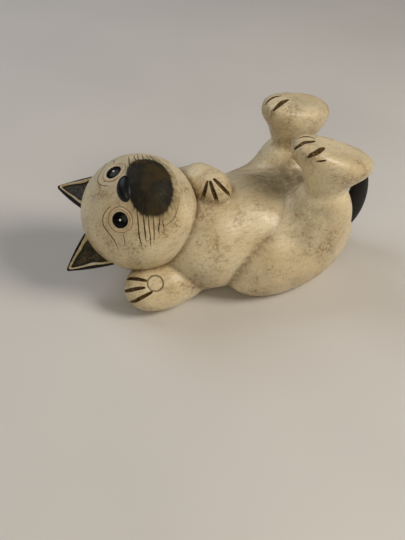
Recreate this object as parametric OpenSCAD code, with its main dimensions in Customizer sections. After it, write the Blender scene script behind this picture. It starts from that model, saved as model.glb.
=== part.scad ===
// A cat lying on its back, in hollow ceramic. Millimetres, +Z up, +X towards the tail,
// +Y towards the cat's left side. The origin is the middle of the flat face that it rests on.
// Every rounded piece is the surface where a distance function is zero, found along rays
// from a point inside the piece. Neighbours are cut with each other's surface, so they meet
// face to face, as luted clay does.

/* [Body] */
// Wall of the hollow pieces
wall = 4.5; // [3.5:0.5:6]
// Chest centre
chest_at = [-15.2, 0, 30];
// Chest half sizes
chest_size = [32.5, 35, 31];
// Belly centre
belly_at = [15.4, 0, 31];
// Belly half sizes
belly_size = [26, 34.5, 33];
// How softly the chest runs into the belly
belly_blend = 20; // [10:1:26]
// Rump centre, between the thighs
rump_at = [42, 0, 30];
// Rump half sizes
rump_size = [32, 24, 32];
// How softly the belly runs into the rump
rump_blend = 14; // [8:1:18]
// Vent hole underneath
vent_d = 8; // [5:0.5:10]
// Vent hole, distance behind the origin
vent_x = 13; // [8:1:15]
// Air holes between the hollow pieces
air_d = 8; // [5:0.5:10]

/* [Hind legs] */
// Thigh centre, right leg
thigh_at = [38.5, -22, 24];
// Thigh half sizes
thigh_size = [49, 22.5, 29];
// Thigh slope, rear end up
thigh_slope = 5; // [0:1:10]
// Thigh turned outward
thigh_turn = 10; // [4:1:14]
// Knee centre
knee_at = [52.5, -24, 48.5];
// Knee half sizes
knee_size = [22, 18, 25];
// How softly the thigh runs into the knee
knee_blend = 11; // [8:1:16]
// Ankle centre
ankle_at = [52.5, -25, 80];
// Ankle half sizes
ankle_size = [15.5, 12.5, 17];
// How softly the ankle runs into the foot
ankle_blend = 8; // [5:1:12]
// Foot centre
foot_at = [50.5, -25.5, 91.5];
// Foot half lengths: right foot, left foot
foot_half = [26, 22.8];
// Foot half width and half height
foot_size = [16, 13.5];
// Sole slopes, toes up: right foot, left foot
foot_slope = [19, 9];
// Heel turned outward
foot_turn = 12; // [6:1:18]
// Sole above the foot centre
sole_rise = 6; // [5:0.2:8]
// Heel ball behind the foot centre: right foot, left foot
heel_back = [20, 16.8];
// Heel ball beside and below the foot centre
heel_off = [-1, -5.5];
// Heel ball radius
heel_r = 8.5; // [7:0.5:10]
// Height of the seam at the right ankle
ankle_z = 72; // [70:1:74]
// How far the left leg sits from the right one's mirror image
left_shift = [4.5, 0, 2.5];

/* [Head] */
// Head centre
head_at = [-52.7, 9.8, 50];
// Head radius
head_r = 34.7; // [32:0.1:36]
// Head turn about X, Y and Z: then the face looks to -Y and the ears rise to +Z
head_turn = [-111.6, -30.8, 78];
// Muzzle centre in the head's own frame
muzzle_at = [0, -24, -10.5];
// Muzzle half sizes
muzzle_size = [17, 14, 15];
// How softly the muzzle runs into the head
muzzle_blend = 9; // [5:1:12]

/* [Ears] */
// Ear tip in the head's own frame, left ear
ear_tip = [27.1, 0.7, 48.9];
// Inner corner of the ear
ear_in = [5.4, -5.4, 31];
// Outer corner of the ear
ear_out = [28.6, 0.6, 14.6];
// Ear thickness
ear_t = 4; // [3:0.2:5]
// Width of the ear's rim
ear_rim = 3.4; // [2.5:0.1:4.5]
// Depth of the hollow inside the rim
ear_dish = 1; // [0.6:0.1:1.4]
// Depth of the ear's tenon in the head
ear_tenon = 6; // [5:0.5:7]

/* [Eyes and nose] */
// Eye diameter
eye_d = 9.4; // [8:0.1:11]
// Crown of the eye
eye_crown = 1.2; // [0.8:0.1:1.6]
// Depth of the eye's seat
eye_seat = 2.6; // [2:0.1:3.2]
// Eye angle from the middle of the face
eye_side = 25; // [20:0.5:30]
// Eye angle above the nose
eye_up = 10.6; // [6:0.2:16]
// Half length of the nose, without its round ends
nose_half = 5; // [4:0.1:6]
// Nose radius
nose_r = 4; // [3.4:0.1:4.6]
// Nose centre in the head's own frame
nose_at = [0.8, -34.8, -0.6];

/* [Forelegs] */
// Right palm centre: this arm lies on the table
palm_at = [-46, -18.6, 14.4];
// Right palm half sizes
palm_size = [24, 13.5, 9.5];
// Right toes centre
toes_at = [-57.5, -18.8, 16.6];
// Right toes half sizes
toes_size = [12.5, 12.4, 9];
// Palm turned to the side about X, then Z
palm_turn = [38, 0, 4];
// Right elbow
elbow_at = [-44, -18, 15];
// Right shoulder
shoulder_at = [-18, -12, 18];
// Elbow and shoulder radii
elbow_r = [11, 13];
// Left upper arm, from the shoulder
left_arm_from = [-24, 22, 50];
// Left upper arm, to the wrist
left_arm_to = [-15, 10, 64];
// Left arm radii
left_arm_r = [14, 11.5];
// Left paw centre
left_paw_at = [-9.5, 0.5, 65];
// Left paw half sizes
left_paw_size = [10.5, 11.5, 10.5];

/* [Tail] */
// Where the tail leaves the body
tail_root = [46, 0, 22];
// Pulls the tail down and back between the thighs
tail_low = [100, 0, -6];
// Pulls the tail up behind the feet
tail_high = [109, 0, 28];
// Tail tip
tail_tip = [99, 0, 63];
// Half width
tail_w = 7; // [6:0.2:8]
// Thickness over width
tail_flat = 0.58; // [0.5:0.02:0.8]

/* [Pieces] */
// Piece to build

/* [Hidden] */
cream = [0.80, 0.74, 0.60];
dark = [0.10, 0.09, 0.08];
far = 400;
thigh_m = turn_matrix([0, -thigh_slope, thigh_turn]);
head_m = turn_matrix(head_turn);
palm_m = turn_matrix(palm_turn);
right = 0;
left = 1;
torso_eye = [0, 0, 30.7];
haunch_eye = [50, -25, 45];
foot_eye = [52.5, -25, 84];
right_eye = [-44.5, -17.6, 15.2];
left_eye = [-15, 8, 62];
ear_n = unit(cross(ear_out - ear_in, ear_tip - ear_in));
ear_x = unit(ear_out - ear_in);
ear_y = cross(ear_n, ear_x);
ear_len = norm(ear_out - ear_in);
ear_sag = head_r - norm(ear_in + ear_out) / 2;
ear_peak = [(ear_tip - ear_in) * ear_x, (ear_tip - ear_in) * ear_y];
eye_back = head_r * head_r - eye_d * eye_d / 4;
eye_ball = (eye_d * eye_d / 4 + eye_crown * eye_crown) / (2 * eye_crown);

// Vectors and blends
function unit(v) = v / norm(v);
function turn_matrix(r) =
    let (a = cos(r.x), b = sin(r.x), c = cos(r.y), d = sin(r.y), e = cos(r.z), f = sin(r.z))
    [[e * c, e * d * b - f * a, e * d * a + f * b],
     [f * c, f * d * b + e * a, f * d * a - e * b],
     [-d, c * b, c * a]];
function blend_min(a, b, k) = let (h = max(k - abs(a - b), 0) / k) min(a, b) - h * h * k / 4;
function blend_max(a, b, k) = -blend_min(-a, -b, k);

// Distance to an egg with half sizes r, turned by the matrix m
function egg(p, c, r, m = [[1, 0, 0], [0, 1, 0], [0, 0, 1]]) =
    let (q = (p - c) * m,
         a = norm([q.x / r.x, q.y / r.y, q.z / r.z]),
         b = norm([q.x / r.x / r.x, q.y / r.y / r.y, q.z / r.z / r.z]))
    b < 0.000001 ? -min(r) : a * (a - 1) / b;
// Distance to a limb that tapers from a to b
function limb(p, a, b, ra, rb) =
    let (d = b - a, t = min(max((p - a) * d / (d * d), 0), 1)) norm(p - a - t * d) - ra - t * (rb - ra);

// The figure's forms
torso_form = function (p)
    let (trunk = blend_min(egg(p, chest_at, chest_size), egg(p, belly_at, belly_size), belly_blend))
    blend_min(trunk, egg(p, rump_at, rump_size), rump_blend);
// The hind leg of a side, in the right leg's place
function foot_form(p, side, m) =
    let (heel_at = foot_at + [heel_back[side], heel_off[0], heel_off[1]],
         pad = egg(p, foot_at, [foot_half[side], foot_size[0], foot_size[1]], m),
         heel = blend_min(pad, norm(p - heel_at) - heel_r, 12),
         whole = blend_min(heel, egg(p, ankle_at, ankle_size), ankle_blend))
    blend_max(whole, (p - foot_at) * (m * [0, 0, 1]) - sole_rise, 5);
function leg_form(side) =
    let (m = turn_matrix([0, foot_slope[side], -foot_turn]))
    function (p)
        let (thigh = egg(p, thigh_at, thigh_size, thigh_m), knee = egg(p, knee_at, knee_size))
        blend_min(blend_min(thigh, knee, knee_blend), foot_form(p, side, m), 4);
function haunch_form(side) = let (leg = leg_form(side)) function (p) max(leg(p), p.z - ankle_z - 5);
function ankle_form(side) = let (leg = leg_form(side)) function (p) max(leg(p), ankle_z - 6 - p.z);
head_form = function (p)
    blend_min(norm(p - head_at) - head_r, egg((p - head_at) * head_m, muzzle_at, muzzle_size),
              muzzle_blend);
right_arm_form = function (p)
    blend_min(blend_min(egg(p, palm_at, palm_size, palm_m), egg(p, toes_at, toes_size, palm_m), 8),
              limb(p, elbow_at, shoulder_at, elbow_r[0], elbow_r[1]), 10);
left_arm_form = function (p)
    blend_min(limb(p, left_arm_from, left_arm_to, left_arm_r[0], left_arm_r[1]),
              egg(p, left_paw_at, left_paw_size), 5);
// The hollow inside a form, which stays a wall above the flat base
function hollow(form, top = far) = function (p) max(form(p) + wall, wall - p.z, p.z - top);

// How far a ray from c along d runs inside a form
function reach(form, c, d, lo, hi, n) =
    let (m = (lo + hi) / 2)
    n == 0 ? m : form(c + m * d) < 0 ? reach(form, c, d, m, hi, n - 1) : reach(form, c, d, lo, m, n - 1);

// A closed skin around the point c, with `around` points on each of `down - 1` rings
module skin(form, c, around, down) {
    long = 90;
    points = concat(
        [c + [0, 0, 1] * reach(form, c, [0, 0, 1], 0, long, 16)],
        [for (i = [1:down - 1]) for (j = [0:around - 1])
            let (t = 180 * i / down, a = 360 * j / around, d = [sin(t) * cos(a), sin(t) * sin(a), cos(t)])
            c + d * reach(form, c, d, 0, long, 16)],
        [c - [0, 0, 1] * reach(form, c, [0, 0, -1], 0, long, 16)]);
    last = len(points) - 1;
    function id(i, j) = 1 + (i - 1) * around + j % around;
    faces = concat(
        [for (j = [0:around - 1]) [0, id(1, j + 1), id(1, j)]],
        [for (i = [1:down - 2]) for (j = [0:around - 1]) [id(i, j), id(i, j + 1), id(i + 1, j + 1)]],
        [for (i = [1:down - 2]) for (j = [0:around - 1]) [id(i, j), id(i + 1, j + 1), id(i + 1, j)]],
        [for (j = [0:around - 1]) [last, id(down - 1, j), id(down - 1, j + 1)]]);
    polyhedron(points, faces, convexity = 6);
}

// Skins that more than one piece is cut with
module torso_skin() skin(torso_form, torso_eye, 48, 24);
module head_skin() skin(head_form, head_at, 48, 24);
// Puts what is drawn in the right leg's place where that side's leg is
module leg_place(side) translate(left_shift * side) mirror([0, side, 0]) children();
module in_head() translate(head_at) rotate(head_turn) children();
module above(z) translate([-far / 2, -far / 2, z]) cube([far, far, far]);
module below(z) translate([-far / 2, -far / 2, z - far]) cube([far, far, far]);
// Makes one closed skin of its children's cuts
module fused() resize([0, 0, 0]) children();

// Air holes: torso to head, and torso to each haunch
module neck_air() translate([-24, 4, 36]) rotate([0, -62, -13]) cylinder(d = air_d, h = 30, $fn = 48);
module hip_air() translate([24, -14, 24]) rotate([90, 0, 0]) cylinder(d = air_d, h = 30, $fn = 48);

// Ears
module ear_frame() in_head()
    multmatrix([[ear_x.x, ear_y.x, ear_n.x, ear_in.x], [ear_x.y, ear_y.y, ear_n.y, ear_in.y],
                [ear_x.z, ear_y.z, ear_n.z, ear_in.z]]) children();
module ear_outline(inset = 0) {
    c = [(ear_len + ear_peak.x) / 3, ear_peak.y / 3];
    s = 1 - inset / (0.3 * ear_peak.y);
    translate(c) scale([s, s]) translate(-c) polygon([[0, 0], [ear_len, 0], ear_peak]);
}
module ear_peg() translate([ear_len * 0.32, ear_sag - ear_tenon, -ear_t * 0.3])
    cube([ear_len * 0.36, ear_tenon + 2.5, ear_t * 0.6]);
module ear() fused() {
    difference() {
        ear_frame() difference() {
            translate([0, 0, -ear_t / 2]) linear_extrude(ear_t) ear_outline();
            translate([0, 0, ear_t / 2 - ear_dish]) linear_extrude(ear_t) ear_outline(ear_rim);
        }
        head_skin();
    }
    ear_frame() ear_peg();
}
// The face's sides mirror each other in the head's own frame
module other_side() in_head() mirror([1, 0, 0]) rotate_back() children();
module rotate_back() multmatrix([for (i = [0:2]) concat([for (j = [0:2]) head_m[j][i]], [0])])
    translate(-head_at) children();

// Eyes and nose
module eye_frame(side) in_head() rotate([-eye_up, 0, 0]) rotate([0, 0, side * eye_side])
    translate([0, -sqrt(eye_back), 0]) rotate([90, 0, 0]) children();
module eye() {
    translate([0, 0, -eye_seat]) cylinder(d = eye_d, h = eye_seat, $fn = 64);
    intersection() {
        translate([0, 0, eye_crown - eye_ball]) sphere(eye_ball, $fn = 96);
        cylinder(d = eye_d, h = eye_crown * 2, $fn = 64);
    }
}
module eye_hole() translate([0, 0, -eye_seat]) cylinder(d = eye_d, h = eye_seat + 6, $fn = 64);
module nose_bean() in_head() translate(nose_at) hull() {
    translate([-nose_half, 0.6, 0]) sphere(nose_r, $fn = 28);
    translate([0, 0, -0.6]) sphere(nose_r * 1.06, $fn = 28);
    translate([nose_half, 0.6, 0]) sphere(nose_r, $fn = 28);
}

// Tail: a bent blade, thinner across than it is wide, closed by a point at the tip
function bend(t) = let (u = 1 - t)
    u * u * u * tail_root + 3 * u * u * t * tail_low + 3 * u * t * t * tail_high + t * t * t * tail_tip;
function tail_r(t) = tail_w * (0.8 + 0.45 * sin(180 * t)) * sqrt(1 - pow(t, 7));
module tail_blade() {
    around = 20;
    along = 22;
    steps = [for (i = [0:along - 1]) 1 - pow(1 - i / along, 1.3)];
    points = concat([tail_root],
        [for (t = steps) let (w = unit(bend(t + 0.01) - bend(t - 0.01))) for (j = [0:around - 1])
            let (a = 360 * j / around, r = tail_r(t))
            bend(t) + r * cos(a) * [w.z, 0, -w.x] + r * sin(a) * [0, tail_flat, 0]],
        [tail_tip]);
    function id(i, j) = 1 + i * around + j % around;
    last = len(points) - 1;
    faces = concat(
        [for (j = [0:around - 1]) [0, id(0, j), id(0, j + 1)]],
        [for (i = [0:along - 2]) for (j = [0:around - 1]) [id(i, j), id(i + 1, j + 1), id(i, j + 1)]],
        [for (i = [0:along - 2]) for (j = [0:around - 1]) [id(i, j), id(i + 1, j), id(i + 1, j + 1)]],
        [for (j = [0:around - 1]) [last, id(along - 1, j + 1), id(along - 1, j)]]);
    polyhedron(points, faces, convexity = 4);
}

// The pieces
module torso() color(cream) difference() {
    fused() intersection() {
        difference() {
            torso_skin();
            skin(hollow(torso_form), torso_eye, 36, 18);
            head_skin();
            tail_blade();
        }
        above(0);
    }
    translate([vent_x, 0, -1]) cylinder(d = vent_d, h = wall + 4, $fn = 48);
    hip_air();
    mirror([0, 1, 0]) hip_air();
}
module head() color(cream) difference() {
    fused() difference() {
        head_skin();
        skin(hollow(head_form), head_at, 32, 16);
        nose_bean();
    }
    eye_frame(1) eye_hole();
    eye_frame(-1) eye_hole();
    ear_frame() ear_peg();
    other_side() ear_frame() ear_peg();
    neck_air();
}
module ear_left() color(dark) ear();
module ear_right() color(dark) other_side() ear();
module eye_left() color(dark) eye_frame(1) eye();
module eye_right() color(dark) eye_frame(-1) eye();
module nose() color(dark) nose_bean();
module foreleg_right() color(cream) fused() difference() {
    skin(right_arm_form, right_eye, 36, 18);
    torso_skin();
    head_skin();
    below(0);
}
module foreleg_left() color(cream) fused() difference() {
    skin(left_arm_form, left_eye, 32, 16);
    torso_skin();
    head_skin();
}
module haunch(side) color(cream) fused() difference() {
    leg_place(side) difference() {
        skin(haunch_form(side), haunch_eye, 48, 26);
        skin(hollow(haunch_form(side), ankle_z + 5), haunch_eye, 32, 18);
        above(ankle_z);
    }
    torso_skin();
    tail_blade();
    below(0);
    translate([-far / 2, -far * side, -1]) cube([far, far, far]);
}
module foot(side) color(cream) fused() leg_place(side) difference() {
    skin(ankle_form(side), foot_eye, 40, 22);
    skin(hollow(ankle_form(side)), foot_eye, 24, 12);
    below(ankle_z);
}
module haunch_right() haunch(right);
module haunch_left() haunch(left);
module foot_right() foot(right);
module foot_left() foot(left);
module tail() color(dark) fused() tail_blade();

torso();
head();
ear_left();
ear_right();
eye_left();
eye_right();
nose();
foreleg_right();
foreleg_left();
haunch_right();
haunch_left();
foot_right();
foot_left();
tail();
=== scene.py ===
"""A ceramic cat that lies on its back: the looks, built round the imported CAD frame.

Lengths are in millimetres until a mesh is made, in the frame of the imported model: +X runs to the
tail, +Y to the cat's left side, and the table is z = 0. Each clay piece and the nose is the surface
where a distance function is zero, found along rays from a point inside it. The eyes are revolved,
the ears are hollowed plates and the tail follows a curve. Carved lines press a clay surface in, and
leave a value on each vertex that the materials read as their wash of dark paint.
"""

import bpy
import numpy as np
from mathutils import Matrix, Vector


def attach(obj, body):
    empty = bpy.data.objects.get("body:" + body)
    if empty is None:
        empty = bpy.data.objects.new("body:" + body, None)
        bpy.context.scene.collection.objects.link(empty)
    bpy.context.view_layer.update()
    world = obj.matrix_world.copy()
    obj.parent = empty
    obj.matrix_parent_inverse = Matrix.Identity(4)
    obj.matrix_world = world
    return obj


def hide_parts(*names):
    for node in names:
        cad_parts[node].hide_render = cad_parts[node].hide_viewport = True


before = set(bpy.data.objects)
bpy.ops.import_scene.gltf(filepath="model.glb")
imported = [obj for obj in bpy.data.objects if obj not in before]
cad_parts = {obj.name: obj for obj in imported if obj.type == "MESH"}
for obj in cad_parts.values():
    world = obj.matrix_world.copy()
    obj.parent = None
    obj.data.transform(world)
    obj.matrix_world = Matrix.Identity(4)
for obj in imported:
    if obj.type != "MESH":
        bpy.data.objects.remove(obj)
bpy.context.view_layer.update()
MM = 0.001

# ---------------------------------------------------------------- sizes, as in the CAD part
CHEST = ((-15.2, 0, 30), (32.5, 35, 31))
BELLY = ((15.4, 0, 31), (26, 34.5, 33))
BELLY_BLEND = 20
RUMP = ((42, 0, 30), (32, 24, 32))
RUMP_BLEND = 14
VENT_X, VENT_R, WALL = 13, 4, 4.5

THIGH = ((38.5, -22, 24), (49, 22.5, 29))
THIGH_TURN = (0, -5, 10)
KNEE = ((52.5, -24, 48.5), (22, 18, 25))
KNEE_BLEND = 11
ANKLE = ((52.5, -25, 80), (15.5, 12.5, 17))
ANKLE_BLEND, ANKLE_Z = 8, 72
FOOT_AT, FOOT_HALF, FOOT_SIZE = (50.5, -25.5, 91.5), {"right": 26, "left": 22.8}, (16, 13.5)
FOOT_SLOPE, FOOT_TURN = {"right": 19, "left": 9}, 12
SOLE_RISE = 6
HEEL_BACK, HEEL_OFF, HEEL_R = {"right": 20, "left": 16.8}, (-1, -5.5), 8.5
LEFT_SHIFT = (4.5, 0, 2.5)

HEAD_AT, HEAD_R = (-52.7, 9.8, 50), 34.7
HEAD_TURN = (-111.6, -30.8, 78)
MUZZLE = ((0, -24, -10.5), (17, 14, 15))
MUZZLE_BLEND = 9
EAR_TIP, EAR_IN, EAR_OUT = (27.1, 0.7, 48.9), (5.4, -5.4, 31), (28.6, 0.6, 14.6)
EAR_T = 4
EYE_R, EYE_SIDE, EYE_UP = 4.7, 25, 10.6
NOSE_AT, NOSE_HALF, NOSE_R = (0.8, -34.8, -0.6), 5, 4

PALM = ((-46, -18.6, 14.4), (24, 13.5, 9.5))
TOES = ((-57.5, -18.8, 16.6), (12.5, 12.4, 9))
PALM_TURN = (38, 0, 4)
RIGHT_ARM = ((-44, -18, 15), (-18, -12, 18), 11, 13)
LEFT_ARM = ((-24, 22, 50), (-15, 10, 64), 14, 11.5)
LEFT_PAW = ((-9.5, 0.5, 65), (10.5, 11.5, 10.5))

TAIL_PATH = ((46, 0, 22), (100, 0, -6), (109, 0, 28), (99, 0, 63))
TAIL_W, TAIL_FLAT = 7, 0.58


# How the looks join the pieces: blends where limbs meet, and how far a hidden part tucks under
CREASE_BLEND, SOFT_BLEND = 1.8, 6.5
ARM_BLEND = 3
TABLE_BLEND = 1.6
TUCK, DIP, OVERLAP = 2.5, 0.12, 3


# ---------------------------------------------------------------- vectors and distance functions
def vec(*v):
    return np.array(v, float)


def unit(v):
    v = np.asarray(v, float)
    return v / np.linalg.norm(v, axis=-1, keepdims=True)


def turn(x, y, z):
    """The matrix that turns about X, then Y, then Z, in degrees."""
    a, b, c = np.radians((x, y, z))
    rx = np.array([[1, 0, 0], [0, np.cos(a), -np.sin(a)], [0, np.sin(a), np.cos(a)]])
    ry = np.array([[np.cos(b), 0, np.sin(b)], [0, 1, 0], [-np.sin(b), 0, np.cos(b)]])
    rz = np.array([[np.cos(c), -np.sin(c), 0], [np.sin(c), np.cos(c), 0], [0, 0, 1]])
    return rz @ ry @ rx


def blend_min(a, b, k):
    """The smaller of two distances, with a fillet where they are within `k` of each other."""
    h = np.maximum(k - np.abs(a - b), 0) / k
    return np.minimum(a, b) - h * h * k / 4


def blend_max(a, b, k):
    return -blend_min(-a, -b, k)


def ball(p, c, r):
    return np.linalg.norm(p - vec(*c), axis=-1) - r


def egg(p, c, r, m=np.eye(3)):
    """About the distance to an ellipsoid with half sizes `r`, turned by `m`."""
    q = (p - vec(*c)) @ m
    r = vec(*r)
    a, b = np.linalg.norm(q / r, axis=-1), np.linalg.norm(q / r**2, axis=-1)
    return a * (a - 1) / np.maximum(b, 1e-6)


def limb(p, a, b, ra, rb):
    """Distance to a rod with round ends whose radius changes evenly from one end to the other."""
    a, b = vec(*a), vec(*b)
    t = np.clip((p - a) @ (b - a) / ((b - a) @ (b - a)), 0, 1)
    return np.linalg.norm(p - a - t[..., None] * (b - a), axis=-1) - ra - t * (rb - ra)


def ease(x, lo, hi):
    """0 below `lo` and 1 above `hi`, with a smooth step between them."""
    t = np.clip((x - lo) / (hi - lo), 0, 1)
    return t * t * (3 - 2 * t)


MIRROR = vec(1, -1, 1)
HEAD_M, PALM_M, THIGH_M = turn(*HEAD_TURN), turn(*PALM_TURN), turn(*THIGH_TURN)
FOOT_M = {side: turn(0, slope, -FOOT_TURN) for side, slope in FOOT_SLOPE.items()}


# ---------------------------------------------------------------- the figure's forms
def uneven(p):
    """The slight waviness of a form finished by hand."""
    x, y, z = p[..., 0], p[..., 1], p[..., 2]
    return 0.16 * np.sin(x / 6.1 + 1.3) * np.sin(y / 5.3 + z / 9 + 0.4) + 0.12 * np.sin(
        z / 4.7 + x / 11
    ) * np.sin(y / 7.9 - x / 8.3 + 2)


def torso_form(p):
    trunk = blend_min(egg(p, *CHEST), egg(p, *BELLY), BELLY_BLEND)
    return blend_min(trunk, egg(p, *RUMP), RUMP_BLEND)


def from_right(side, points):
    """Points of the right leg's place, moved to where that side's leg is."""
    return points * MIRROR + vec(*LEFT_SHIFT) if side == "left" else points


def leg_form(side):
    """The hind leg of a side."""
    m = FOOT_M[side]
    heel_at = (FOOT_AT[0] + HEEL_BACK[side], FOOT_AT[1] + HEEL_OFF[0], FOOT_AT[2] + HEEL_OFF[1])

    def form(p):
        q = (p - vec(*LEFT_SHIFT)) * MIRROR if side == "left" else p
        foot = blend_min(egg(q, FOOT_AT, (FOOT_HALF[side], *FOOT_SIZE), m), ball(q, heel_at, HEEL_R), 12)
        foot = blend_min(foot, egg(q, *ANKLE), ANKLE_BLEND)
        foot = blend_max(foot, (q - vec(*FOOT_AT)) @ m[:, 2] - SOLE_RISE, 5)
        return blend_min(blend_min(egg(q, *THIGH, THIGH_M), egg(q, *KNEE), KNEE_BLEND), foot, 4)

    return form


RIGHT_LEG, LEFT_LEG = leg_form("right"), leg_form("left")


def head_form(p):
    q = (p - vec(*HEAD_AT)) @ HEAD_M
    return blend_min(ball(p, HEAD_AT, HEAD_R), egg(q, *MUZZLE), MUZZLE_BLEND)


def right_arm_form(p):
    paw = blend_min(egg(p, *PALM, PALM_M), egg(p, *TOES, PALM_M), 8)
    return blend_min(paw, limb(p, *RIGHT_ARM), 10)


def left_arm_form(p):
    return blend_min(limb(p, *LEFT_ARM), egg(p, *LEFT_PAW), 5)


def nose_form(p):
    q = (p - vec(*HEAD_AT)) @ HEAD_M - vec(*NOSE_AT)
    q = q + (q[..., :1] / 9) ** 2 * vec(0, 0, 0.9)
    return egg(q, (0, 0.5, 0.2), (NOSE_HALF + NOSE_R - 0.4, NOSE_R + 0.7, NOSE_R + 1.1))


def nearest(forms, p):
    return np.minimum.reduce([f(p) for f in forms])


def seam_softness(p):
    """The legs run into the rump softly high up, and meet the belly in a crease lower down."""
    return CREASE_BLEND + SOFT_BLEND * ease(p[..., 2], 42, 62) * ease(p[..., 0], 0, 26)


def body_form(p):
    """The one skin that the torso and the limbs share, flat where it rests on the table."""
    k = seam_softness(p)
    hind = blend_min(blend_min(RIGHT_LEG(p), LEFT_LEG(p), k), torso_form(p), k)
    whole = blend_min(blend_min(hind, right_arm_form(p), ARM_BLEND), left_arm_form(p), ARM_BLEND)
    return blend_max(whole + uneven(p), -p[..., 2], TABLE_BLEND)


def among(own, others):
    """The shared skin where `own` is the nearest piece. Elsewhere the piece goes on just under it."""

    def form(p):
        a = own(p)
        skin = body_form(p) + DIP * np.maximum(a - nearest(others, p), 0)
        limit = a - seam_softness(p) / 4 - TUCK
        return np.maximum(skin, np.maximum(limit, -p[..., 2]))

    return form


def cut_off(form, past):
    """A form as far as a seam, where `past` is the distance beyond the seam. It dips under it."""

    def shortened(p):
        beyond = past(p)
        return np.maximum(form(p) + DIP * np.maximum(beyond, 0), beyond - OVERLAP)

    return shortened


# ---------------------------------------------------------------- from a form to a mesh
def ring_angles(fine, until, coarse):
    """Angles from the pole, `fine` apart as far as `until`, then growing to `coarse` apart."""
    out, step = [fine], fine
    while out[-1] + step < 180 - step / 2:
        if out[-1] > until:
            step = min(step * 1.12, coarse)
        out.append(out[-1] + step)
    return np.array(out)


def rays(angles, around, pole):
    """Directions at the given angles from a pole, `around` of them in each ring."""
    z = unit(vec(*pole))
    x = unit(np.cross(z, vec(0.31, 0.9, 0.27)))
    y = np.cross(z, x)
    t = np.radians(angles)[:, None, None]
    a = (np.arange(around) * 2 * np.pi / around)[None, :, None]
    rows = np.cos(t) * z + np.sin(t) * (np.cos(a) * x + np.sin(a) * y)
    return np.vstack([z[None], rows.reshape(-1, 3), -z[None]])


def reach(form, centre, directions, longest=95, steps=19):
    """Where each ray leaves the form."""
    lo, hi = np.zeros(len(directions)), np.full(len(directions), float(longest))
    for _ in range(steps):
        mid = (lo + hi) / 2
        within = form(centre + directions * mid[:, None]) < 0
        lo, hi = np.where(within, mid, lo), np.where(within, hi, mid)
    return centre + directions * lo[:, None]


def normals_of(form, p, h=0.06):
    """The outward directions at points on a form, from small steps each way."""
    steps = np.eye(3) * h
    return unit(np.stack([form(p + s) - form(p - s) for s in steps], axis=-1))


def grid_faces(rows, around, flip=False):
    """Faces of a closed grid that starts and ends in one point."""
    faces, last = [], rows * around + 1
    for j in range(around):
        k = (j + 1) % around
        faces.append((0, 1 + j, 1 + k))
        faces.append((last, 1 + (rows - 1) * around + k, 1 + (rows - 1) * around + j))
    for i in range(rows - 1):
        a, b = 1 + i * around, 1 + (i + 1) * around
        for j in range(around):
            k = (j + 1) % around
            faces.append((a + j, b + j, b + k, a + k))
    return [f[::-1] for f in faces] if flip else faces


def add_piece(name, node, points, faces, material, values=None):
    """A piece of the figure that stands for a CAD node and rides on its body."""
    mesh = bpy.data.meshes.new(name)
    mesh.from_pydata((points * MM).tolist(), [], faces)
    mesh.polygons.foreach_set("use_smooth", np.ones(len(mesh.polygons), bool))
    for key, value in (values or {}).items():
        value = np.asarray(value, np.float32)
        if value.ndim == 2:
            mesh.attributes.new(key, "FLOAT_VECTOR", "POINT").data.foreach_set("vector", value.ravel())
        else:
            mesh.attributes.new(key, "FLOAT", "POINT").data.foreach_set("value", value)
    mesh.materials.append(material)
    mesh.update()
    piece = bpy.data.objects.new(name, mesh)
    bpy.context.scene.collection.objects.link(piece)
    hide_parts(node)
    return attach(piece, "root")


# ---------------------------------------------------------------- carved lines
def smooth_line(points, spacing=0.14):
    """A soft curve through a few points, as closely spaced points."""
    p = [vec(*q) for q in points]
    p = [2 * p[0] - p[1], *p, 2 * p[-1] - p[-2]]
    out = []
    for a, b, c, d in zip(p, p[1:], p[2:], p[3:]):
        n = max(int(np.linalg.norm(c - b) / spacing), 2)
        t = (np.arange(n) / n)[:, None]
        out.append(
            0.5 * (2 * b + (c - a) * t + (2 * a - 5 * b + 4 * c - d) * t**2
                   + (3 * b - a - 3 * c + d) * t**3)
        )
    return np.vstack([*out, p[-2][None]])


def laid_on(form, line):
    """Moves a line's points onto a form's surface."""
    for _ in range(6):
        line = line - normals_of(form, line) * form(line)[:, None]
    return line


class Cut:
    """A line carved into the clay. Its width and depth taper towards its ends."""

    def __init__(self, line, half_width, depth, taper=0.35, ink=1.0):
        t = np.linspace(0, 1, len(line))
        fat = taper + (1 - taper) * np.sin(np.pi * np.clip(t, 0.02, 0.98)) ** 0.6
        self.line, self.wide, self.deep, self.ink = line, half_width * fat, depth * fat, ink


def carve(points, normals, cuts):
    """Presses the cuts into the points. Gives the new points and how much dark paint each holds."""
    push, ink = np.zeros(len(points)), np.zeros(len(points))
    for cut in cuts:
        room = cut.wide.max() * 2.2
        near = np.all((points > cut.line.min(0) - room) & (points < cut.line.max(0) + room), axis=1)
        found = np.flatnonzero(near)
        for part in np.array_split(found, max(len(found) // 4000, 1)):
            gap = np.linalg.norm(points[part, None] - cut.line[None], axis=2)
            best = gap.argmin(1)
            x = gap[np.arange(len(part)), best] / cut.wide[best]
            depth = cut.deep[best] * (1 - ease(x, 0, 1) - 0.12 * np.exp(-(((x - 1.35) / 0.3) ** 2)))
            push[part] = np.where(np.abs(depth) > np.abs(push[part]), depth, push[part])
            ink[part] = np.maximum(ink[part], cut.ink * (1 - ease(x, 0.55, 1.2)))
    return points - normals * push[:, None], ink


def ring_line(form, centre, normal, radius):
    """A circle round a point on a form's surface."""
    z = unit(vec(*normal))
    x = unit(np.cross(vec(0, 0, 1), z))
    y = np.cross(z, x)
    a = np.radians(np.linspace(0, 360, 39))[:, None]
    return laid_on(form, smooth_line(vec(*centre) + radius * (np.cos(a) * x + np.sin(a) * y)))


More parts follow.
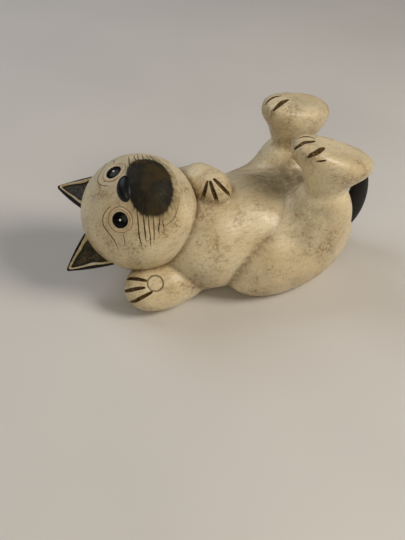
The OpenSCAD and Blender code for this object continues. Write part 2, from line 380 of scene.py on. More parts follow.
# ---------------------------------------------------------------- materials
class Nodes:
    """A material's node tree, built a call at a time."""

    def __init__(self, name, **sockets):
        self.material = bpy.data.materials.new(name)
        self.material.use_nodes = True
        self.tree = self.material.node_tree
        self.shader = self.tree.nodes["Principled BSDF"]
        for key, value in sockets.items():
            self.shader.inputs[key.replace("_", " ")].default_value = value
        self.place = self.add("ShaderNodeTexCoord").outputs["Object"]

    def add(self, kind, **settings):
        node = self.tree.nodes.new(kind)
        for key, value in settings.items():
            setattr(node, key, value)
        return node

    def feed(self, socket, value):
        """Links another node's output to a socket, or sets the socket to a number or a colour."""
        if isinstance(value, bpy.types.NodeSocket):
            self.tree.links.new(value, socket)
        elif isinstance(value, (tuple, list)) and len(value) == 3 and socket.type == "RGBA":
            socket.default_value = (*value, 1)
        else:
            socket.default_value = value

    def stretched(self, stretch):
        node = self.add("ShaderNodeVectorMath", operation="MULTIPLY")
        self.feed(node.inputs[0], self.place)
        node.inputs[1].default_value = stretch
        return node.outputs[0]

    def noise(self, size, detail=4.0, rough=0.55, stretch=None, warp=0.0, along=None):
        """Noise whose blotches are about `size` millimetres across, from 0 to 1."""
        node = self.add("ShaderNodeTexNoise")
        place = self.stretched(stretch) if stretch else self.place
        if along:
            place = self.add("ShaderNodeAttribute", attribute_name=along).outputs["Vector"]
        self.feed(node.inputs["Vector"], place)
        node.inputs["Scale"].default_value = 1 / (size * MM)
        node.inputs["Detail"].default_value = detail
        node.inputs["Roughness"].default_value = rough
        node.inputs["Distortion"].default_value = warp
        return node.outputs["Fac"]

    def specks(self, size):
        """Distance to scattered points that are about `size` millimetres apart."""
        node = self.add("ShaderNodeTexVoronoi")
        self.feed(node.inputs["Vector"], self.place)
        node.inputs["Scale"].default_value = 1 / (size * MM)
        return node.outputs["Distance"]

    def value(self, name):
        """A number that the mesh holds for each vertex."""
        return self.add("ShaderNodeAttribute", attribute_name=name).outputs["Fac"]

    def span(self, x, lo, hi, to_lo=0.0, to_hi=1.0):
        """Takes the range from `lo` to `hi` smoothly to the range from `to_lo` to `to_hi`."""
        node = self.add("ShaderNodeMapRange", interpolation_type="SMOOTHSTEP")
        for socket, v in zip(node.inputs[:5], (x, lo, hi, to_lo, to_hi)):
            self.feed(socket, v)
        return node.outputs["Result"]

    def math(self, operation, a, b=0.0):
        node = self.add("ShaderNodeMath", operation=operation)
        self.feed(node.inputs[0], a)
        self.feed(node.inputs[1], b)
        return node.outputs[0]

    def mix(self, amount, a, b):
        """Colour `a` where the amount is 0, and `b` where it is 1."""
        node = self.add("ShaderNodeMix", data_type="RGBA")
        self.feed(node.inputs["Factor"], amount)
        self.feed(node.inputs[6], a)
        self.feed(node.inputs[7], b)
        return node.outputs[2]

    def bump(self, height, depth, below=None):
        """A bump whose full height is `depth` millimetres."""
        node = self.add("ShaderNodeBump")
        node.inputs["Strength"].default_value = 1
        node.inputs["Distance"].default_value = depth * MM
        self.feed(node.inputs["Height"], height)
        if below is not None:
            self.feed(node.inputs["Normal"], below)
        return node.outputs["Normal"]

    def finish(self, colour, roughness, normal):
        self.feed(self.shader.inputs["Base Color"], colour)
        self.feed(self.shader.inputs["Roughness"], roughness)
        self.feed(self.shader.inputs["Normal"], normal)
        return self.material


def cream_material(name, face=False):
    """Cream paint over clay, rubbed with a brown wash that stays in cuts and brush marks. Creases get dark
    brown that is partly that wash and partly painted shade, and the paint near the table is darkened as
    painted contact shade.
    """
    n = Nodes(name, Coat_Roughness=0.25)
    ivory, sand, grey = (0.74, 0.64, 0.43), (0.63, 0.51, 0.31), (0.5, 0.455, 0.35)
    umber, rust, soot = (0.17, 0.105, 0.042), (0.3, 0.15, 0.06), (0.05, 0.03, 0.014)
    colour = n.mix(n.span(n.noise(30, 3, 0.5), 0.36, 0.66), ivory, sand)
    colour = n.mix(n.span(n.noise(20, 4, 0.6, warp=0.6), 0.5, 0.76, 0, 0.6), colour, grey)
    # sandy grain, and long faint streaks of the wiping cloth, which ran along the body
    colour = n.mix(n.span(n.noise(0.9, 3, 0.7), 0.5, 0.72, 0, 0.3), colour, umber)
    streaks = n.span(n.noise(1.7, 5, 0.65, stretch=(0.3, 1, 0.8)), 0.48, 0.72, 0, 0.32)
    colour = n.mix(streaks, colour, umber)
    # brown stains, broken up finely, and a few that are more red
    grain = n.span(n.noise(1.9, 6, 0.75), 0.42, 0.64)
    stains = n.math("MULTIPLY", n.span(n.noise(15, 3, 0.6, warp=0.4), 0.46, 0.68, 0, 0.75), grain)
    colour = n.mix(stains, colour, umber)
    blush = n.span(n.noise(11, 3, 0.6, stretch=(1, 1.2, 0.8)), 0.54, 0.7, 0, 0.6)
    colour = n.mix(n.math("MULTIPLY", blush, grain), colour, rust)
    # short dark dashes, and small dark specks
    dashes = n.span(n.noise(1.3, 2, 0.5, stretch=(0.3, 1, 1)), 0.68, 0.73, 0, 0.75)
    dashes = n.math("MULTIPLY", dashes, n.span(n.noise(24, 2), 0.5, 0.62))
    colour = n.mix(dashes, colour, soot)
    dots = n.math("MULTIPLY", n.span(n.specks(4.6), 0.05, 0.1, 0.75, 0), n.span(n.noise(9, 2), 0.5, 0.6))
    colour = n.mix(dots, colour, soot)
    # darker grey between the legs, partly patina and partly painted shade, and painted shade on the near
    # thigh
    patina_and_shade = n.math("MULTIPLY", n.value("patina_and_shade"), n.span(n.noise(5, 5, 0.7), 0.32, 0.62, 0.35, 0.9))
    colour = n.mix(patina_and_shade, colour, (0.21, 0.165, 0.1))
    # dark brown in creases, partly antiquing wash and partly painted shade, and painted contact shade near
    # the table
    wash_and_shade = n.math("MULTIPLY", n.value("wash_and_shade"), n.span(n.noise(2.6, 5, 0.7), 0.3, 0.62, 0.3, 0.85))
    colour = n.mix(wash_and_shade, colour, (0.19, 0.12, 0.05))
    if face:
        colour = paint_face(n, colour)
    groove = n.math("ADD", n.value("groove"), n.span(n.noise(0.9, 4, 0.7), 0, 1, -0.28, 0.28))
    groove = n.math("MULTIPLY", n.span(groove, 0.2, 0.55), n.span(n.value("groove"), 0, 0.9, 0, 1))
    gold = n.mix(n.span(n.noise(1.7, 4, 0.6), 0.46, 0.7), (0.045, 0.026, 0.008), (0.22, 0.13, 0.035))
    colour = n.mix(groove, colour, gold)
    roughness = n.span(n.noise(6, 5, 0.7), 0.3, 0.7, 0.32, 0.55)
    dull = n.math("MAXIMUM", groove, n.value("muzzle")) if face else groove
    roughness = n.math("ADD", roughness, n.math("MULTIPLY", dull, 0.22))
    n.feed(n.shader.inputs["Coat Weight"], n.span(dull, 0, 0.6, 0.08 if face else 0.16, 0))
    n.feed(n.shader.inputs["Specular IOR Level"], n.span(dull, 0, 1, 0.5, 0.22))
    normal = n.bump(n.noise(2.2, 6, 0.62, stretch=(0.45, 1, 1)), 0.2)
    normal = n.bump(n.noise(0.45, 3, 0.6), 0.04, normal)
    return n.finish(colour, roughness, normal)


def paint_face(n, colour):
    """The airbrushed muzzle, the peach bloom round the eyes and the dark haze round the muzzle."""
    peach = n.math("MULTIPLY", n.value("peach"), n.span(n.noise(4, 4), 0.3, 0.7, 0.1, 0.42))
    colour = n.mix(peach, colour, (0.5, 0.27, 0.12))
    colour = n.mix(n.value("pale"), colour, (0.68, 0.58, 0.38))
    hairs = n.noise(2.4, 4, 0.65, along="hairs")
    haze = n.math("MULTIPLY", n.value("halo"), n.span(hairs, 0.36, 0.64, 0.4, 0.95))
    colour = n.mix(haze, colour, (0.15, 0.12, 0.042))
    olive, brown = (0.011, 0.0105, 0.006), (0.042, 0.028, 0.009)
    dark = n.mix(n.span(n.noise(14, 2, 0.5), 0.4, 0.62), olive, brown)
    dark = n.mix(n.span(hairs, 0.5, 0.75, 0, 0.5), dark, (0.075, 0.052, 0.02))
    ragged = n.span(hairs, 0.25, 0.75, -0.14, 0.14)
    ragged = n.math("ADD", ragged, n.span(n.noise(1.2, 4, 0.7), 0, 1, -0.1, 0.1))
    return n.mix(n.span(n.math("ADD", n.value("muzzle"), ragged), 0.16, 0.78), colour, dark)


def ear_material():
    n = Nodes("ear_paint", Specular_IOR_Level=0.2)
    fleck = n.noise(1.4, 5, 0.7, stretch=(1, 1, 0.4))
    dark = n.mix(n.span(fleck, 0.42, 0.7), (0.01, 0.009, 0.0045), (0.045, 0.037, 0.016))
    brushed = n.math("MULTIPLY", n.value("middle"), n.span(n.noise(2.6, 5, 0.7), 0.42, 0.7, 0, 0.6))
    dark = n.mix(brushed, dark, (0.15, 0.12, 0.06))
    cream = n.mix(n.span(n.noise(2, 4), 0.4, 0.7), (0.66, 0.57, 0.38), (0.46, 0.34, 0.18))
    edge = n.math("ADD", n.value("line"), n.span(n.noise(1.2, 3), 0, 1, -0.2, 0.2))
    colour = n.mix(n.span(edge, 0.3, 0.6), dark, cream)
    rim = n.math("ADD", n.value("rim"), n.span(n.noise(1.8, 3), 0, 1, -0.15, 0.15))
    colour = n.mix(n.span(rim, 0.4, 0.65), colour, (0.007, 0.006, 0.005))
    normal = n.bump(n.noise(1.1, 5, 0.65, stretch=(1, 1, 0.4)), 0.12)
    return n.finish(colour, n.span(n.noise(4, 4), 0.3, 0.7, 0.4, 0.58), normal)


def eye_material():
    n = Nodes("eye_glaze", Specular_IOR_Level=0.12)
    black = n.mix(n.span(n.noise(2.4, 3), 0.4, 0.7), (0.0025, 0.0025, 0.003), (0.007, 0.007, 0.009))
    colour = n.mix(n.span(n.value("dot"), 0.4, 0.6), black, (0.8, 0.8, 0.76))
    normal = n.bump(n.noise(1.6, 2), 0.012)
    return n.finish(colour, n.span(n.noise(3, 3), 0.3, 0.7, 0.16, 0.26), normal)


def nose_material():
    n = Nodes("nose_glaze", Coat_Weight=0.05, Coat_Roughness=0.35, Specular_IOR_Level=0.28)
    colour = n.mix(n.span(n.noise(3.4, 4, 0.6), 0.4, 0.7), (0.0025, 0.003, 0.004), (0.008, 0.009, 0.012))
    normal = n.bump(n.noise(1.3, 4, 0.6), 0.05)
    return n.finish(colour, n.span(n.noise(3, 4), 0.3, 0.7, 0.32, 0.46), normal)


def black_material():
    n = Nodes("black_paint", Specular_IOR_Level=0.28)
    colour = n.mix(n.span(n.noise(7, 5, 0.65), 0.4, 0.7), (0.005, 0.004, 0.003), (0.013, 0.01, 0.007))
    rub = n.span(n.noise(1.8, 6, 0.75, stretch=(1, 1, 0.3)), 0.64, 0.76, 0, 0.4)
    colour = n.mix(rub, colour, (0.05, 0.036, 0.02))
    normal = n.bump(n.noise(1.6, 5, 0.65, stretch=(1, 1, 0.3)), 0.12)
    return n.finish(colour, n.span(n.noise(4, 4), 0.3, 0.7, 0.45, 0.62), normal)


CREAM = cream_material("cream_paint")
FACE = cream_material("cream_paint_face", face=True)
EAR = ear_material()
EYE = eye_material()
NOSE = nose_material()
BLACK = black_material()


# ---------------------------------------------------------------- the hollow cream pieces
# Where the paint is darker grey: between the legs it is patina and painted shade, by the near knee it is
# painted shade. Given as the middle and the half sizes of each egg-shaped region
BETWEEN_LEGS, NEAR_KNEE = ((38, 0, 62), (22, 17, 12)), ((40, -34, 54), (22, 16, 20))
CONTACT_WASH_AND_SHADE, TABLE_SHADE = 2, 2.5  # how far the dark brown (wash and painted shade) spreads from a contact, and how far the painted contact shade spreads from the table


def clay_piece(node, form, centre, pole, angles, around, cuts=(), touching=(), material=CREAM, extra=None):
    """Casts a form, carves its cuts, and notes where it meets the pieces it touches."""
    p = reach(form, vec(*centre), rays(angles, around, pole))
    n = normals_of(form, p)
    carved, ink = carve(p, n, cuts)
    values = {"groove": ink, "wash_and_shade": np.zeros(len(p))}
    # dark brown where a piece meets another, partly wash and partly painted shade, and painted contact shade
    # along the table
    if touching:
        gap = np.maximum(nearest(touching, p), 0)
        values["wash_and_shade"] = np.exp(-((gap / CONTACT_WASH_AND_SHADE) ** 2))
    values["wash_and_shade"] = np.maximum(values["wash_and_shade"], 0.55 * np.exp(-((p[:, 2] / TABLE_SHADE) ** 2)))
    # darker grey between the legs (patina and painted shade) and by the near knee (painted shade)
    between = np.linalg.norm((p - vec(*BETWEEN_LEGS[0])) / vec(*BETWEEN_LEGS[1]), axis=1)
    near_knee = np.linalg.norm((p - vec(*NEAR_KNEE[0])) / vec(*NEAR_KNEE[1]), axis=1)
    values["patina_and_shade"] = np.maximum(1 - ease(between, 0.5, 1.25), 0.45 * (1 - ease(near_knee, 0.3, 1.25)))
    if extra:
        carved, more = extra(p, n, carved)
        values.update(more)
    faces = grid_faces(len(angles), around)
    add_piece(f"{node}_form", node, carved, faces, material, values)


def in_frame(at, m, points):
    """Points given in a piece's own frame, in the figure's frame."""
    return [vec(*at) + m @ vec(*q) for q in points]


# The torso, with its vent hole underneath
def torso(p):
    hole = np.maximum(np.hypot(p[..., 0] - VENT_X, p[..., 1]) - VENT_R, p[..., 2] - WALL)
    return np.maximum(among(torso_form, [RIGHT_LEG, LEFT_LEG, right_arm_form, left_arm_form])(p), -hole)


clay_piece("torso", torso, (VENT_X, 0, 30.7), (0, 0, -1), ring_angles(0.9, 178, 1.2), 210,
           touching=[RIGHT_LEG, LEFT_LEG, right_arm_form, left_arm_form, head_form])

# Cuts between the toes: points in the foot's own frame (toes at -X, sole at +Z), then half the width
TOE_CUTS = {
    "right": [
        ([(-23.6, 3, 3), (-20, 4.6, 5), (-15.8, 5.8, 5.8), (-12.4, 4.8, 6)], 1.0),
        ([(-25.6, -2.4, -0.4), (-24.6, -3.2, 2.8), (-22.3, -2.2, 4.8), (-18.5, -1, 5.8), (-14, 1.6, 6)], 1.5),
        ([(-20.2, -10.2, 0.8), (-19.2, -10.2, 2.6), (-15.9, -9.2, 4.9), (-10, -4, 6)], 1.9),
        ([(-15.7, -12.7, 0.7), (-13.7, -13.4, 1.9), (-11.2, -13.5, 3.3)], 0.7),
    ],
    "left": [
        ([(-20.4, -4.4, 2.6), (-17.4, -6, 4.8), (-12, -7.4, 5.8), (-6, -7.8, 6)], 1.2),
        ([(-21.4, 3.2, 3), (-17.4, 2.4, 5.4), (-10, -0.6, 6), (-5, -2, 6)], 1.8),
    ],
}
# Places inside the haunch and the foot from which rays reach their whole surface
HAUNCH_EYE, FOOT_EYE = (50, -25, 45), (52.5, -25, 84)
TOE_DEPTH = 0.95
SOLE_PAD_AT, SOLE_PAD_R = (-2.6, 1.5, SOLE_RISE), 6.2
for side, own, other in (("right", RIGHT_LEG, LEFT_LEG), ("left", LEFT_LEG, RIGHT_LEG)):
    seam_z = from_right(side, vec(0, 0, ANKLE_Z))[2]
    out = MIRROR if side == "left" else 1

    def above(p):
        return p[..., 2] - seam_z

    def below(p):
        return seam_z - p[..., 2]

    def surface(p):
        return own(p) + uneven(p)

    leg = among(own, [torso_form, other])
    clay_piece(f"haunch_{side}", cut_off(leg, above), from_right(side, vec(*HAUNCH_EYE)),
               vec(-0.6, 0.3, 1) * out, ring_angles(1.0, 179, 1.1), 200, touching=[torso_form])
    m = FOOT_M[side]
    toe_lines = []
    for places, half_width in TOE_CUTS[side]:
        line = smooth_line([from_right(side, q) for q in in_frame(FOOT_AT, m, places)])
        toe_lines.append(Cut(laid_on(surface, line), half_width, TOE_DEPTH))
    pad_at = from_right(side, in_frame(FOOT_AT, m, [SOLE_PAD_AT])[0])
    sole_pad = ring_line(surface, pad_at, m[:, 2] * out, SOLE_PAD_R)
    toe_lines.append(Cut(sole_pad, 0.5, 0.2, taper=1, ink=0.35))
    clay_piece(f"foot_{side}", cut_off(leg, below), from_right(side, vec(*FOOT_EYE)),
               (m @ vec(-0.75, 0, 0.65)) * out, ring_angles(0.7, 75, 2), 280, cuts=toe_lines)

# The right foreleg: palm up, with three cuts between the toes and a round pad
PALM_CUTS = [
    [(-24.2, 10.2, 3), (-22.6, 9.2, 5.2), (-19.8, 7.2, 8), (-15.2, 4.2, 10.7)],
    [(-26.6, 3, 0.6), (-25.3, 2.4, 3.6), (-23.5, 1.8, 6.4), (-21.2, 1.4, 8.4), (-17.6, 0.6, 10.2)],
    [(-25, -4.4, 1), (-23.2, -4.8, 4.8), (-20.7, -4.4, 7.6), (-17.6, -3.9, 9.4), (-14.2, -3.2, 10.6)],
]
palm_lines = [
    Cut(laid_on(right_arm_form, smooth_line(in_frame(PALM[0], PALM_M, q))), 1.4, 1.0, taper=0.55)
    for q in PALM_CUTS
]
PALM_PAD_AT, PALM_PAD_R = (-10.8, 1, 11.9), 4.8
pad_at = in_frame(PALM[0], PALM_M, [PALM_PAD_AT])[0]
palm_pad = ring_line(right_arm_form, pad_at, PALM_M[:, 2], PALM_PAD_R)
palm_lines.append(Cut(palm_pad, 0.7, 0.35, taper=1, ink=0.6))
clay_piece("foreleg_right", among(right_arm_form, [torso_form]), (-44.5, -17.6, 15.2),
           PALM_M @ vec(-0.55, 0, 0.8), ring_angles(0.62, 85, 2.2), 300, cuts=palm_lines,
           touching=[torso_form, head_form])

# The left foreleg: it lies on the chest, with its toes curled over
PAW_CUTS = [
    [(-7, -3.2, 7.4), (-8.8, -5.1, 3.5), (-9.5, -5, -0.8), (-8.3, -2.6, -6.8)],
    [(-5.7, -4.4, 8), (-5.6, -8.2, 4.9), (-4.7, -10.1, 1.8), (-3.6, -10.6, -1.4), (-2.7, -9.7, -5.2)],
    [(-3.2, -4.4, 9.4), (-0.8, -8.5, 7), (2, -10.4, 4.1), (5.4, -10, 0)],
]
paw_lines = [
    Cut(laid_on(left_arm_form, smooth_line(in_frame(LEFT_PAW[0], np.eye(3), q))), 1.45, 1.0, taper=0.6)
    for q in PAW_CUTS
]
PAW_RIM = [(-8, -1.2, -8.1), (-5.9, -5.6, -7), (-2.6, -9.6, -5.1), (1.7, -10.7, -3.3), (6, -9.4, -0.9)]
paw_rim = laid_on(left_arm_form, smooth_line(in_frame(LEFT_PAW[0], np.eye(3), PAW_RIM)))
paw_lines.append(Cut(paw_rim, 0.5, 0.35, ink=0.75))
clay_piece("foreleg_left", among(left_arm_form, [torso_form]), (-15, 8, 62), (0.4, -0.8, 0.3),
           ring_angles(0.75, 80, 2), 240, cuts=paw_lines, touching=[torso_form, head_form])


# ---------------------------------------------------------------- the head
def face_direction(across, up):
    """The way from the head's centre to a place on the face, in the head's own frame, in degrees."""
    a, e = np.radians((across, up))
    return vec(np.sin(a), -np.cos(a) * np.cos(e), np.cos(a) * np.sin(e))


def face_point(across, up):
    d = HEAD_M @ face_direction(across, up)
    return reach(head_form, vec(*HEAD_AT), d[None])[0]


def face_cut(places, half_width, depth, **more):
    return Cut(laid_on(head_form, smooth_line([face_point(*q) for q in places])), half_width, depth, **more)


def both_sides(places):
    """Places on one half of the face, and their mirror images on the other."""
    return [places, [(-a, e) for a, e in places]]


EYE_PLACES = [face_point(side * EYE_SIDE, EYE_UP) for side in (-1, 1)]
EYE_RING = 7.3
face_cuts = []
for eye in EYE_PLACES:
    outward = unit(eye - vec(*HEAD_AT))
    face_cuts.append(Cut(ring_line(head_form, eye, outward, EYE_RING), 0.45, 0.3, taper=1, ink=0.5))
    face_cuts.append(Cut(ring_line(head_form, eye, outward, EYE_R + 1.1), 0.36, 0.2, taper=1, ink=0.4))
# brow and cheek lines
BROW = [(10, 16), (13, 23), (18, 28.5), (24, 31), (30, 30), (37, 28.5), (45, 29), (53, 35)]
for places in both_sides(BROW):
    face_cuts.append(face_cut(places, 0.46, 0.32, ink=0.75))
for places in both_sides([(38, 13), (44, 14.5), (50, 19)]):
    face_cuts.append(face_cut(places, 0.38, 0.25, ink=0.7))
# whiskers, each its own length and curve, fanning out from the muzzle's edge
WHISKERS_A_SIDE, PITS_A_SIDE = 6, 9
rng = np.random.default_rng(7)
for side in (-1, 1):
    for i in range(WHISKERS_A_SIDE):
        up = -8 - 5 * i + rng.uniform(-1, 1)
        inner, outer = 20 + 1.6 * i, 56 - 2.2 * abs(i - 1.5) + rng.uniform(-7, 4)
        lean = 1.4 * (1 - i) + rng.uniform(-1.5, 1.5)
        places = [(side * (inner + (outer - inner) * t), up + lean * t + rng.uniform(-0.8, 0.8))
                  for t in (0, 0.3, 0.65, 1)]
        half_width = rng.uniform(0.36, 0.5)
        face_cuts.append(face_cut(places, half_width, 0.26, taper=0.3, ink=rng.uniform(0.75, 1)))
# the mouth, under the muzzle
for places in both_sides([(3, -50), (12, -50.5), (20, -49), (28, -46.5), (33, -41), (35, -36)]):
    face_cuts.append(face_cut(places, 0.85, 0.4, ink=0.5))
# pits on the cheeks
for side in (-1, 1):
    for _ in range(PITS_A_SIDE):
        a, e = side * rng.uniform(54, 72), rng.uniform(-6, 30)
        face_cuts.append(face_cut([(a, e), (a + rng.uniform(-1, 1), e + 1)], 0.42, 0.35, taper=1, ink=0.5))


# The painted muzzle patch, in degrees on the face: between an ellipse and a rectangle
PATCH_AT, PATCH_HALF, PATCH_SQUARE = (4, -22.2), (31, 20), 2.5


def face_paint(p, n, carved):
    """Seats for the eyes, soft lids round them, and where each paint goes."""
    q = (p - vec(*HEAD_AT)) @ HEAD_M
    across = np.degrees(np.arcsin(q[:, 0] / np.linalg.norm(q, axis=1)))
    up = np.degrees(np.arctan2(q[:, 2], -q[:, 1]))
    gap = np.min([np.linalg.norm(p - eye, axis=1) for eye in EYE_PLACES], axis=0)
    lid = 0.35 * np.exp(-(((gap - 6.2) / 0.9) ** 2)) - 0.7 * (1 - ease(gap, EYE_R - 0.5, EYE_R + 0.3))
    carved = carved + n * lid[:, None]
    front = np.abs(up) < 90
    x, y = (across - PATCH_AT[0]) / PATCH_HALF[0], (up - PATCH_AT[1]) / PATCH_HALF[1]
    patch = (np.abs(x) ** PATCH_SQUARE + np.abs(y) ** PATCH_SQUARE) ** (1 / PATCH_SQUARE)
    way = np.column_stack([x, y, 0 * x]) / np.maximum(np.hypot(x, y), 1e-3)[:, None]
    below = ease(-up, 20, 45)
    haze = 1 - ease(patch, 0.95, 1.3 + 0.55 * below)
    return carved, {
        "muzzle": np.where(front, 1 - ease(patch, 0.84, 1.12 + 0.08 * below), 0),
        "halo": np.where(front, haze * (0.6 + 0.4 * below), 0),
        "hairs": (way * 30 + vec(0, 0, 1) * patch[:, None] * 6) * MM,
        "peach": np.exp(-(((gap - 6.6) / 1.6) ** 2)) * ease(gap, EYE_R, EYE_R + 1.2),
        "pale": np.exp(-(((gap - (EYE_R + 0.4)) / 0.4) ** 2)) * 0.8,
    }


clay_piece("head", head_form, HEAD_AT, HEAD_M @ face_direction(0, -12), ring_angles(0.46, 72, 3), 420,
           cuts=face_cuts, touching=[torso_form, right_arm_form, left_arm_form],
           material=FACE, extra=face_paint)


# ---------------------------------------------------------------- eyes and nose
def revolve(profile, around):
    """Rings of a (radius, height) profile about +Z. The profile's ends lie on the axis."""
    a = np.arange(around) * 2 * np.pi / around
    rows = [np.column_stack([r * np.cos(a), r * np.sin(a), np.full(around, z)])
            for r, z in profile[1:-1]]
    return np.vstack([vec(0, 0, profile[0][1]), *rows, vec(0, 0, profile[-1][1])])


EYE_AROUND, EYE_CROWN = 96, 1.0
for side, name in ((-1, "right"), (1, "left")):
    radii = np.concatenate([np.linspace(0, 0.8, 9), np.linspace(0.9, EYE_R - 0.12, 40)])
    dome = [(r, EYE_CROWN * (1 - (r / EYE_R) ** 2) ** 0.75) for r in radii]
    edge = [(EYE_R, -0.25), (EYE_R, -1.0), (EYE_R * 0.7, -1.2), (0, -1.2)]
    q = revolve([*dome, *edge], EYE_AROUND)
    eye = EYE_PLACES[(side + 1) // 2]
    outward = unit(eye - vec(*HEAD_AT))
    x = unit(np.cross(vec(0, 0, 1), outward))
    basis = np.stack([x, np.cross(outward, x), outward], axis=1)
    sunk = HEAD_R - np.sqrt(HEAD_R**2 - EYE_R**2)
    placed = eye - outward * sunk + q @ basis.T
    dot = 1 - ease(np.linalg.norm(q[:, :2] - vec(0.25, 0.2), axis=1), 0.5, 0.72)
    dot[q[:, 2] < 0] = 0
    faces = grid_faces((len(q) - 2) // EYE_AROUND, EYE_AROUND)
    add_piece(f"eye_{name}_form", f"eye_{name}", placed, faces, EYE, {"dot": dot})

NOSE_AROUND = 110
nose_centre = in_frame(HEAD_AT, HEAD_M, [NOSE_AT])[0]
angles = ring_angles(2.4, 179, 2.4)
directions = rays(angles, NOSE_AROUND, HEAD_M @ vec(0, -1, 0))
nose_points = reach(nose_form, nose_centre, directions, longest=20)
add_piece("nose_form", "nose", nose_points, grid_faces(len(angles), NOSE_AROUND), NOSE)


# ---------------------------------------------------------------- ears
EAR_AROUND = 180
EAR_ROWS = 40
EAR_CORNER, EAR_BOW = 1.6, 0.9
EAR_SOFT_EDGE, EAR_EDGE_SHARE = 1.6, 0.25
EAR_DISH, EAR_DISH_FROM, EAR_DISH_TO = 1.25, 2.2, 4.6
EAR_MIDDLE_GAP = 9  # stands for the distance from the middle of the plate to the outline


def ear_outline(p, corners):
    """Distance to the ear's outline: its corners are rounded and its long sides bow out a little."""
    edges = []
    for i, (u, v) in enumerate(zip(corners, [*corners[1:], corners[0]])):
        length = np.linalg.norm(v - u)
        along = (v - u) / length
        bow = EAR_BOW * np.sin(np.pi * np.clip((p - u) @ along / length, 0, 1)) if i > 0 else 0
        edges.append((p - u) @ vec(along[1], -along[0]) - bow)
    return blend_max(blend_max(edges[0], edges[1], EAR_CORNER), edges[2], EAR_CORNER)


def ear_shell(ways, rim, share, in_front):
    """One ring of the ear's plate, and how far it is from the outline along each of its rays."""
    to_edge = rim * (1 - share)
    rounded = np.sqrt(np.clip(1 - (1 - np.clip(to_edge / EAR_SOFT_EDGE, 0, 1)) ** 2, 0, 1))
    thick = EAR_T / 2 * (EAR_EDGE_SHARE + (1 - EAR_EDGE_SHARE) * rounded) * (share < 1)
    height = thick - EAR_DISH * ease(to_edge, EAR_DISH_FROM, EAR_DISH_TO) if in_front else -thick
    return np.column_stack([ways * (rim * share)[:, None], height]), to_edge


def ear_plate(around, rows):
    """A left ear in the head's own frame: a plate with soft edges, hollowed in front.

    Gives its points, how many rings they are in, and for each point the distance to the outline,
    whether it is in front, and its height above the ear's base.
    """
    origin, outer, tip = vec(*EAR_IN), vec(*EAR_OUT) - vec(*EAR_IN), vec(*EAR_TIP) - vec(*EAR_IN)
    ex = unit(outer)
    ez = unit(np.cross(outer, tip))
    ey = np.cross(ez, ex)
    corners = [vec(0, 0), vec(np.linalg.norm(outer), 0), vec(tip @ ex, tip @ ey)]
    centre = np.mean(corners, axis=0)
    a = np.arange(around) * 2 * np.pi / around
    ways = np.stack([np.cos(a), np.sin(a)], axis=1)
    rim, beyond = np.zeros(around), np.full(around, 40.0)
    for _ in range(24):
        mid = (rim + beyond) / 2
        within = ear_outline(centre + ways * mid[:, None], corners) < 0
        rim, beyond = np.where(within, mid, rim), np.where(within, beyond, mid)
    shares = np.linspace(0, 1, rows)[1:]
    shells = [(share, True) for share in shares] + [(share, False) for share in shares[-2::-1]]
    rings, gaps = zip(*[ear_shell(ways, rim, share, in_front) for share, in_front in shells])
    flat = np.vstack([vec(0, 0, EAR_T / 2 - EAR_DISH), *rings, vec(0, 0, -EAR_T / 2)])
    flat[:, :2] += centre
    to_edge = np.concatenate([[EAR_MIDDLE_GAP], *gaps, [EAR_MIDDLE_GAP]])
    front = np.concatenate([[True], np.repeat([in_front for _, in_front in shells], around), [False]])
    points = origin + flat[:, :1] * ex + flat[:, 1:2] * ey + flat[:, 2:] * ez
    return points, len(shells), to_edge, front, flat[:, 1]


ear, ear_rings, to_edge, front_side, above_base = ear_plate(EAR_AROUND, EAR_ROWS)
ear_band = 3.4 + 2.4 * (1 - ease(above_base, 2, 9))  # the cream band is broader beside the head
ear_values = {
    "rim": np.where(front_side, 1 - ease(to_edge, 1.75, 2.1), 1),
    "line": np.where(front_side, 1 - ease(to_edge - ear_band, -0.25, 0.35), 0),
    "middle": np.where(front_side, ease(to_edge, 4, 6.6), 0),
}
for side, name in ((1, "left"), (-1, "right")):
    placed = vec(*HEAD_AT) + (ear * vec(side, 1, 1)) @ HEAD_M.T
    add_piece(f"ear_{name}_form", f"ear_{name}", placed,
              grid_faces(ear_rings, EAR_AROUND, flip=side < 0), EAR, ear_values)


# ---------------------------------------------------------------- the tail
def tail_piece(around=72, rows=150):
    """A flat blade along a curve, widest in its middle and rounded at its tip."""
    a, b, c, d = (vec(*q) for q in TAIL_PATH)

    def bend(t):
        u = 1 - t
        return u**3 * a + 3 * u * u * t * b + 3 * u * t * t * c + t**3 * d

    turns = np.arange(around) * 2 * np.pi / around
    rings = []
    for i in range(rows):
        t = 1 - (1 - i / rows) ** 1.5
        w = unit(bend(t + 0.002) - bend(t - 0.002))
        r = TAIL_W * (0.8 + 0.45 * np.sin(np.pi * t)) * np.sqrt(1 - t**7)
        rings.append(bend(t) + r * np.cos(turns)[:, None] * vec(w[2], 0, -w[0])
                     + r * TAIL_FLAT * np.sin(turns)[:, None] * vec(0, 1, 0))
    points = np.vstack([a[None], *rings, d[None]])
    add_piece("tail_form", "tail", points, grid_faces(rows, around, flip=True), BLACK)


tail_piece()


# ---------------------------------------------------------------- floor, light and camera
LIT = (0, 0, 0.04)


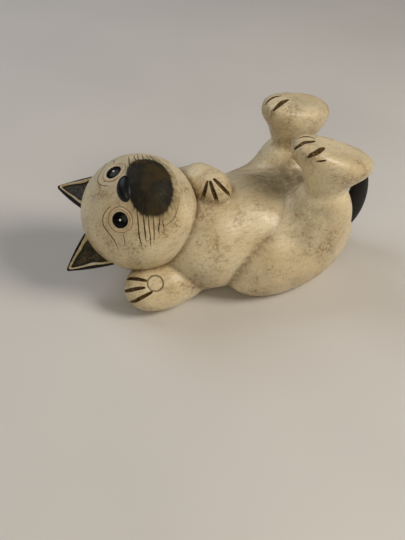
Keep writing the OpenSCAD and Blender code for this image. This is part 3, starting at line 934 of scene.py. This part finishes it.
def add_floor():
    mesh = bpy.data.meshes.new("floor")
    half = 2.5
    corners = [(-half, -half, 0), (half, -half, 0), (half, half, 0), (-half, half, 0)]
    mesh.from_pydata(corners, [], [(0, 1, 2, 3)])
    n = Nodes("floor_paint")
    colour = n.mix(n.span(n.noise(180, 2), 0.3, 0.7), (0.7, 0.685, 0.665), (0.66, 0.645, 0.63))
    mesh.materials.append(n.finish(colour, 0.55, n.bump(n.noise(30, 2), 0.02)))
    floor = bpy.data.objects.new("floor", mesh)
    bpy.context.scene.collection.objects.link(floor)


def aimed(at, to, roll=0.0):
    """A matrix that stands at `at` and looks along -Z towards `to`."""
    look = (Vector(to) - Vector(at)).to_track_quat("-Z", "Y").to_matrix()
    return Matrix.Translation(at) @ (look @ Matrix.Rotation(np.radians(roll), 3, "Z")).to_4x4()


def add_light(name, at, size, power, colour):
    """A round soft light that shines on the middle of the figure."""
    data = bpy.data.lights.new(name, "AREA")
    data.shape, data.size, data.energy, data.color = "DISK", size, power, colour
    light = bpy.data.objects.new(name, data)
    light.matrix_world = aimed(at, LIT)
    bpy.context.scene.collection.objects.link(light)


def add_sky(colour, strength):
    world = bpy.data.worlds.new("studio")
    world.use_nodes = True
    back = world.node_tree.nodes["Background"]
    back.inputs["Color"].default_value = (*colour, 1)
    back.inputs["Strength"].default_value = strength
    bpy.context.scene.world = world


def add_camera(at, to, roll, lens):
    data = bpy.data.cameras.new("camera")
    data.lens, data.sensor_width = lens, 36
    data.dof.use_dof = False
    camera = bpy.data.objects.new("camera", data)
    camera.matrix_world = aimed(at, to, roll)
    bpy.context.scene.collection.objects.link(camera)
    bpy.context.scene.camera = camera


add_floor()
add_sky((1.0, 0.97, 0.93), 0.08)
add_light("room", at=(0.55, -0.5, 0.75), size=0.45, power=6.7, colour=(1.0, 0.905, 0.78))
add_light("lamp", at=(-0.6, -0.7, 0.6), size=0.6, power=2.2, colour=(1.0, 0.87, 0.62))
add_light("window", at=(-0.5, 0.7, 0.9), size=0.8, power=4.4, colour=(0.9, 0.93, 1.0))
add_camera(at=(-0.2138, -0.3388, 0.335), to=(-0.028, -0.0299, 0.03), roll=7.75, lens=53.33)
bpy.context.scene.view_settings.view_transform = "Standard"
